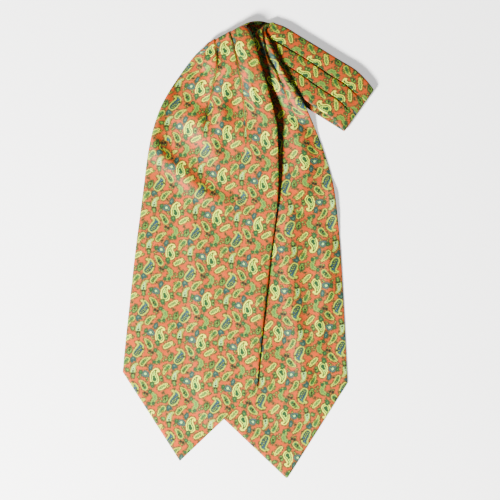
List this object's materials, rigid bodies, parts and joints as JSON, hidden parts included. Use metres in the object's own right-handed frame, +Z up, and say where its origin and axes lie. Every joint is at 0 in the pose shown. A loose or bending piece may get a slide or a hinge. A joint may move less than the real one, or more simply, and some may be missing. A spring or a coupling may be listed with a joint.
{
  "type": "silk cravat",
  "caption": "Paisley silk day cravat laid flat: pointed blades side by side, the front one over the back one, joined by a pleated neckband folded back at the upper right.",
  "frame": {"origin": "middle of the cravat's bounding box, on the table it lies on", "axes": "+X to the right across both blades, +Y from the points towards the neckband, +Z up from the table"},
  "size_m": [0.277, 0.5048, 0.0208],
  "materials": {
    "silk": "silk twill with a printed paisley on both blades, soft sheen",
    "silk_band": "the same printed silk twill, pleated and pressed for the neckband"
  },
  "bodies": {
    "root": {"front_blade": "silk", "front_turn": "silk", "back_blade": "silk", "back_turn": "silk", "neckband_upper": "silk_band", "neckband_lower": "silk_band", "neckband_fold": "silk_band"}
  },
  "joints": []
}
